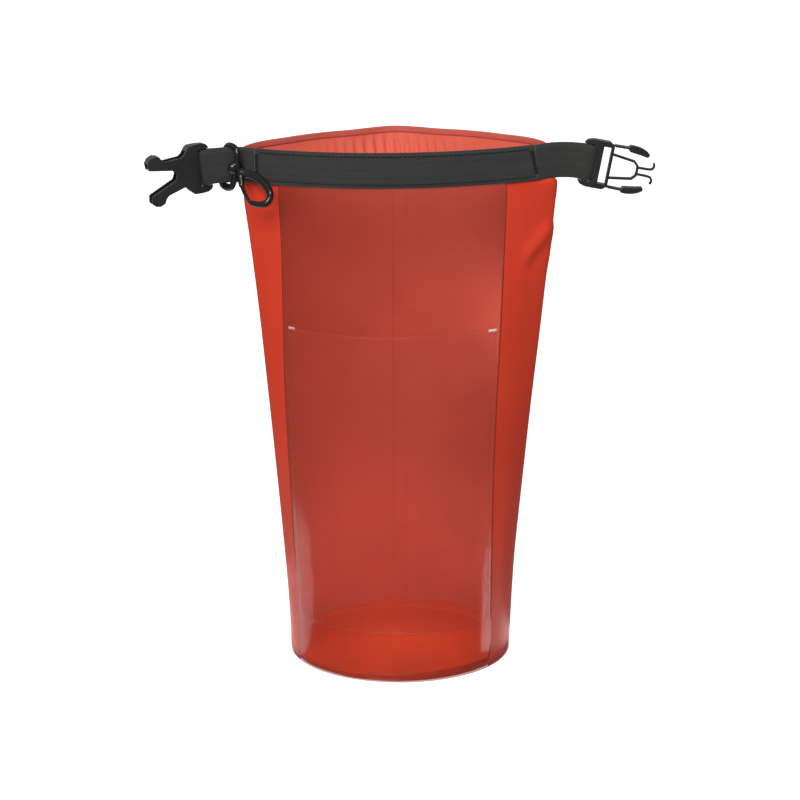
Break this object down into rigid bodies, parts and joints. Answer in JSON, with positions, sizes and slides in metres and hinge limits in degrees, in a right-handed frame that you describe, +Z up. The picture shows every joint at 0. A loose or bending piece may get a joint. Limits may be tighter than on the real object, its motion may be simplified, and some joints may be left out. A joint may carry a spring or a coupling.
{
  "type": "roll-top dry bag",
  "caption": "Small roll-top dry bag standing open on a round base, with a clear front window and pocket, a webbing band at the mouth, a side-release buckle and a swivel snap hook.",
  "frame": {"origin": "centre of the round base, on the floor it stands on", "axes": "+Z up, front window faces -Y, +X towards the strap with the buckle's plug half"},
  "size_m": [0.358, 0.1636, 0.3814],
  "materials": {
    "coated_sheet": "satin coated sheet",
    "seam_tape": "satin welded tape",
    "window_film": "clear tinted gloss film",
    "pocket_film": "clear gloss film",
    "stiffener": "matt strip",
    "webbing": "woven",
    "thread": "sewing thread",
    "moulded_black": "satin moulded"
  },
  "bodies": {
    "bag": {"body_sheet": "coated_sheet", "front_window": "window_film", "base_disc": "coated_sheet", "base_hem": "coated_sheet", "window_tape_left": "seam_tape", "window_tape_right": "seam_tape", "back_seam_tape": "seam_tape", "rim_hem": "seam_tape", "pocket_sheet": "pocket_film", "front_stiffener": "stiffener", "front_band": "webbing", "band_stitch_top": "thread", "band_stitch_bottom": "thread", "band_bartack_left": "thread", "band_bartack_right": "thread"},
    "left_strap": {"strap_left": "webbing"},
    "socket": {"buckle_socket": "moulded_black"},
    "right_strap": {"strap_right": "webbing"},
    "plug": {"buckle_plug": "moulded_black"},
    "upper_arm": {"plug_arm_upper": "moulded_black"},
    "lower_arm": {"plug_arm_lower": "moulded_black"},
    "ring": {"hook_ring": "moulded_black"},
    "stud": {"swivel_stud": "moulded_black"},
    "hook": {"hook_body": "moulded_black"},
    "gate": {"hook_gate": "moulded_black"}
  },
  "joints": [
    {"name": "left_strap_swing", "type": "hinge", "parent": "bag", "child": "left_strap", "pos_m": [-0.1135, -0.0114, 0.36294], "axis": [0, 0, 1], "range_deg": [-30, 6]},
    {"name": "socket_pivot", "type": "hinge", "parent": "left_strap", "child": "socket", "pos_m": [-0.13797, -0.01397, 0.3616], "axis": [-0.1126, -0.0118, 0.9936], "range_deg": [-44, 36]},
    {"name": "right_strap_swing", "type": "hinge", "parent": "bag", "child": "right_strap", "pos_m": [0.1135, -0.0114, 0.36646], "axis": [0, 0, 1], "range_deg": [-35, 35]},
    {"name": "plug_pivot", "type": "hinge", "parent": "right_strap", "child": "plug", "pos_m": [0.1323, -0.0114, 0.36481], "axis": [0.1822, 0, 0.9833], "range_deg": [-45, 45]},
    {"name": "upper_arm_squeeze", "type": "hinge", "parent": "plug", "child": "upper_arm", "pos_m": [0.1515, -0.0114, 0.3762], "axis": [0, 1, 0], "range_deg": [0, 6], "stiffness_Nm_per_rad": 0.01},
    {"name": "lower_arm_squeeze", "type": "hinge", "parent": "plug", "child": "lower_arm", "pos_m": [0.14614, -0.0114, 0.34729], "axis": [0, 1, 0], "range_deg": [-6, 0], "stiffness_Nm_per_rad": 0.01},
    {"name": "ring_slide", "type": "slide", "parent": "left_strap", "child": "ring", "axis": [-0.9945, -0.1045, 0], "range_m": [-0.0015, 0.0015]},
    {"name": "hook_swing", "type": "hinge", "parent": "ring", "child": "stud", "pos_m": [-0.11545, -0.01944, 0.36215], "axis": [0.7736, 0.5679, 0.2811], "range_deg": [-30, 6]},
    {"name": "hook_swivel", "type": "hinge", "parent": "stud", "child": "hook", "pos_m": [-0.11545, -0.01944, 0.36215], "axis": [-0.63, 0.6411, 0.4384], "continuous": true},
    {"name": "gate_open", "type": "hinge", "parent": "hook", "child": "gate", "pos_m": [-0.11076, -0.02977, 0.35159], "axis": [-0.3622, -0.7418, 0.5643], "range_deg": [0, 20], "stiffness_Nm_per_rad": 0.01}
  ],
  "couplings": [
    {"joint": "lower_arm_squeeze", "follows": "upper_arm_squeeze", "ratio": -1}
  ]
}
